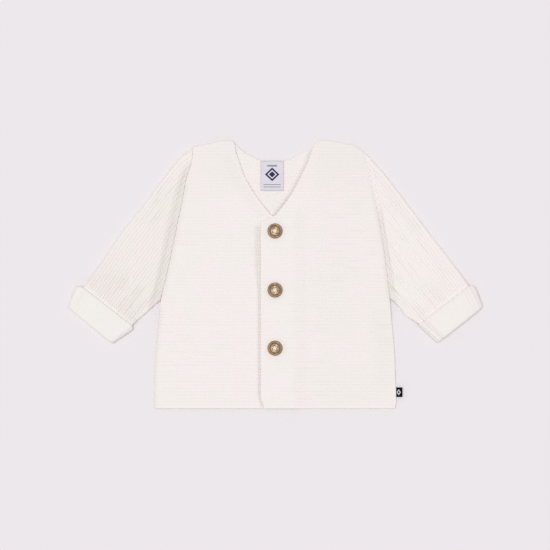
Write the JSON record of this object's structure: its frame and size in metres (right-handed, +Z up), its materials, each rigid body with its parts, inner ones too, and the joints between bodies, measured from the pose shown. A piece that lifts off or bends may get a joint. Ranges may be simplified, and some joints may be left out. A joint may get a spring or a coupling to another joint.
{
  "type": "baby cardigan, laid flat",
  "caption": "Long-sleeved V-neck knitted baby cardigan, buttoned up and laid flat, with drop shoulders, turned-back cuffs, a neck label and a side tag.",
  "frame": {"origin": "on the surface the cardigan lies on, under the middle of its box", "axes": "+X towards the wearer's left, +Y towards the neck, +Z up off the surface"},
  "size_m": [0.4146, 0.2694, 0.0134],
  "materials": {
    "ivory_knit": "ivory cotton garter knit, matt",
    "brown_button": "turned brown button with a soft sheen",
    "lilac_label": "pale woven label, matt",
    "navy_tag": "navy woven tag, matt"
  },
  "bodies": {
    "root": {"back": "ivory_knit", "front_under": "ivory_knit", "front_over": "ivory_knit", "sleeve_right": "ivory_knit", "sleeve_left": "ivory_knit", "cuff_right": "ivory_knit", "cuff_left": "ivory_knit", "button_top": "brown_button", "button_middle": "brown_button", "button_bottom": "brown_button", "neck_label": "lilac_label", "side_tag": "navy_tag"}
  },
  "joints": []
}
